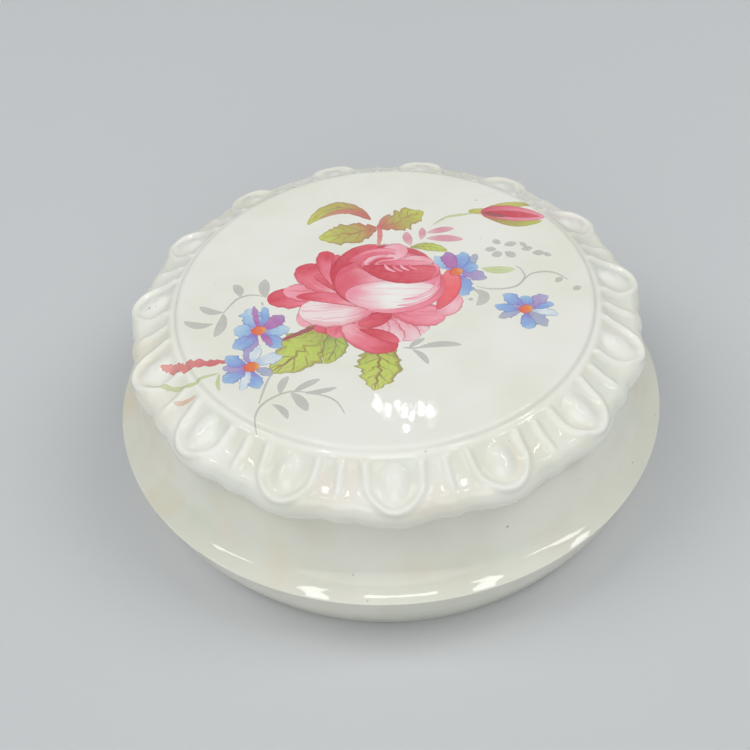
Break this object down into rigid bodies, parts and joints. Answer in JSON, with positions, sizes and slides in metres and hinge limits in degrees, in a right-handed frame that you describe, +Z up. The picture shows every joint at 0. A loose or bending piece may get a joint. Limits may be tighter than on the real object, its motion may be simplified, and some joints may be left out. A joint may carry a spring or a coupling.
{
  "type": "porcelain trinket box",
  "caption": "Low round porcelain box with a flared rim and a loose lid that has a flat painted panel inside a moulded scalloped border.",
  "frame": {"origin": "centre of the foot ring's resting face, on the surface that the box stands on", "axes": "+Z up along the box's axis, out through the lid; -Y towards the middle of one border lobe"},
  "size_m": [0.096, 0.096, 0.0338],
  "materials": {
    "base_glaze": "gloss",
    "lid_glaze": "gloss",
    "print_enamel": "gloss"
  },
  "bodies": {
    "base": {"base": "base_glaze"},
    "lid": {"lid": "lid_glaze"}
  },
  "joints": [
    {"name": "lid_lift", "type": "slide", "parent": "base", "child": "lid", "axis": [0, 0, 1], "range_m": [0, 0.04]}
  ]
}
